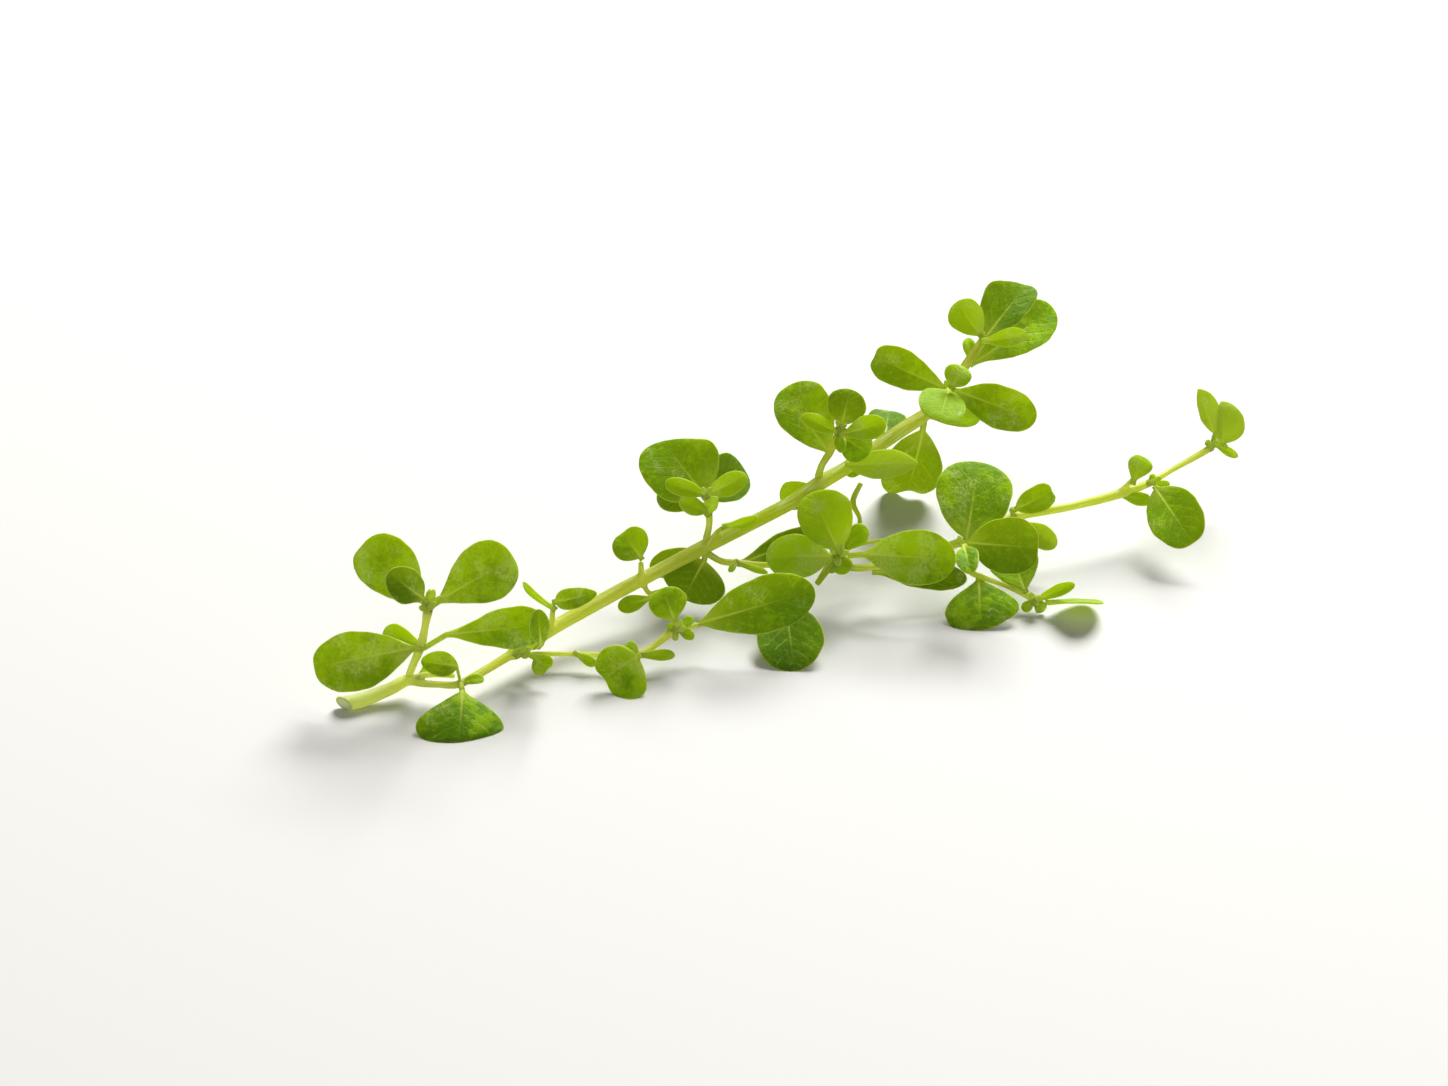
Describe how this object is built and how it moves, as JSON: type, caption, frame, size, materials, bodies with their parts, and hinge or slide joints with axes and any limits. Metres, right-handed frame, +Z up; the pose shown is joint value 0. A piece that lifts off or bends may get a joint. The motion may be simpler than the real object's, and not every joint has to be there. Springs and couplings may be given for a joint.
{
  "type": "cut sprig of water hyssop",
  "caption": "Branched cut sprig of a creeping herb lying down: jointed round stems with pairs of thick rounded leaves, leafy rosettes and small buds.",
  "frame": {"origin": "on the surface that the sprig lies on, under the centre of its bounding box", "axes": "+X along the sprig's longest way, from the cut end towards the far end of the side branch; +Z up; +Y towards the head of the main stem"},
  "size_m": [0.1506, 0.0914, 0.0317],
  "materials": {
    "main_stem": "smooth pale yellow-green skin, soft gloss",
    "shoot_stem": "smooth light green skin, soft gloss",
    "leaf": "fleshy mid green, waxy with fine grain",
    "young_leaf": "fleshy bright green, waxy",
    "shaded_leaf": "fleshy dark green, dull",
    "pale_leaf": "matt grey-green underside"
  },
  "bodies": {
    "root": {"main_stem": "main_stem", "upright_shoot_stem": "shoot_stem", "lower_shoot_stem": "shoot_stem", "middle_shoot_stem": "shoot_stem", "upper_shoot_stem": "shoot_stem", "side_branch_stem": "shoot_stem", "side_twig_stem": "shoot_stem", "upright_leaf_left": "leaf", "upright_leaf_front": "young_leaf", "upright_leaf_right": "leaf", "upright_leaf_low_left": "leaf", "upright_leaf_low_right": "leaf", "base_leaf_small": "leaf", "base_leaf_fan": "leaf", "joint_leaf_front": "leaf", "joint_leaf_heart": "leaf", "joint_leaf_up": "leaf", "lower_leaf_heart": "leaf", "lower_leaf_up": "leaf", "lower_leaf_long": "leaf", "lower_leaf_under": "leaf", "stem_leaf_stalked": "leaf", "stem_leaf_hanging": "shaded_leaf", "stem_leaf_behind": "shaded_leaf", "stem_leaf_sheath": "pale_leaf", "stem_leaf_prop": "shaded_leaf", "head_leaf_left": "leaf", "head_leaf_right": "leaf", "head_leaf_round": "young_leaf", "head_leaf_front": "pale_leaf", "tip_leaf_right": "leaf", "tip_leaf_left": "young_leaf", "tip_leaf_front": "young_leaf", "tip_leaf_back": "leaf", "middle_leaf_left": "leaf", "middle_leaf_back": "shaded_leaf", "middle_leaf_right": "young_leaf", "middle_leaf_low": "shaded_leaf", "upper_leaf_left": "leaf", "upper_leaf_up": "young_leaf", "upper_leaf_right": "young_leaf", "upper_leaf_back": "shaded_leaf", "upper_leaf_front": "leaf", "branch_leaf_behind": "shaded_leaf", "branch_leaf_left": "leaf", "branch_leaf_up": "young_leaf", "branch_leaf_right": "leaf", "branch_leaf_under": "shaded_leaf", "cluster_leaf_top": "leaf", "cluster_leaf_right": "leaf", "cluster_leaf_small": "leaf", "cluster_leaf_low": "leaf", "cluster_leaf_front": "leaf", "cluster_leaf_up": "leaf", "cluster_leaf_pale": "pale_leaf", "end_leaf_hanging": "leaf", "end_leaf_left": "pale_leaf", "end_leaf_right": "pale_leaf", "twig_leaf_flat": "pale_leaf"}
  },
  "joints": []
}
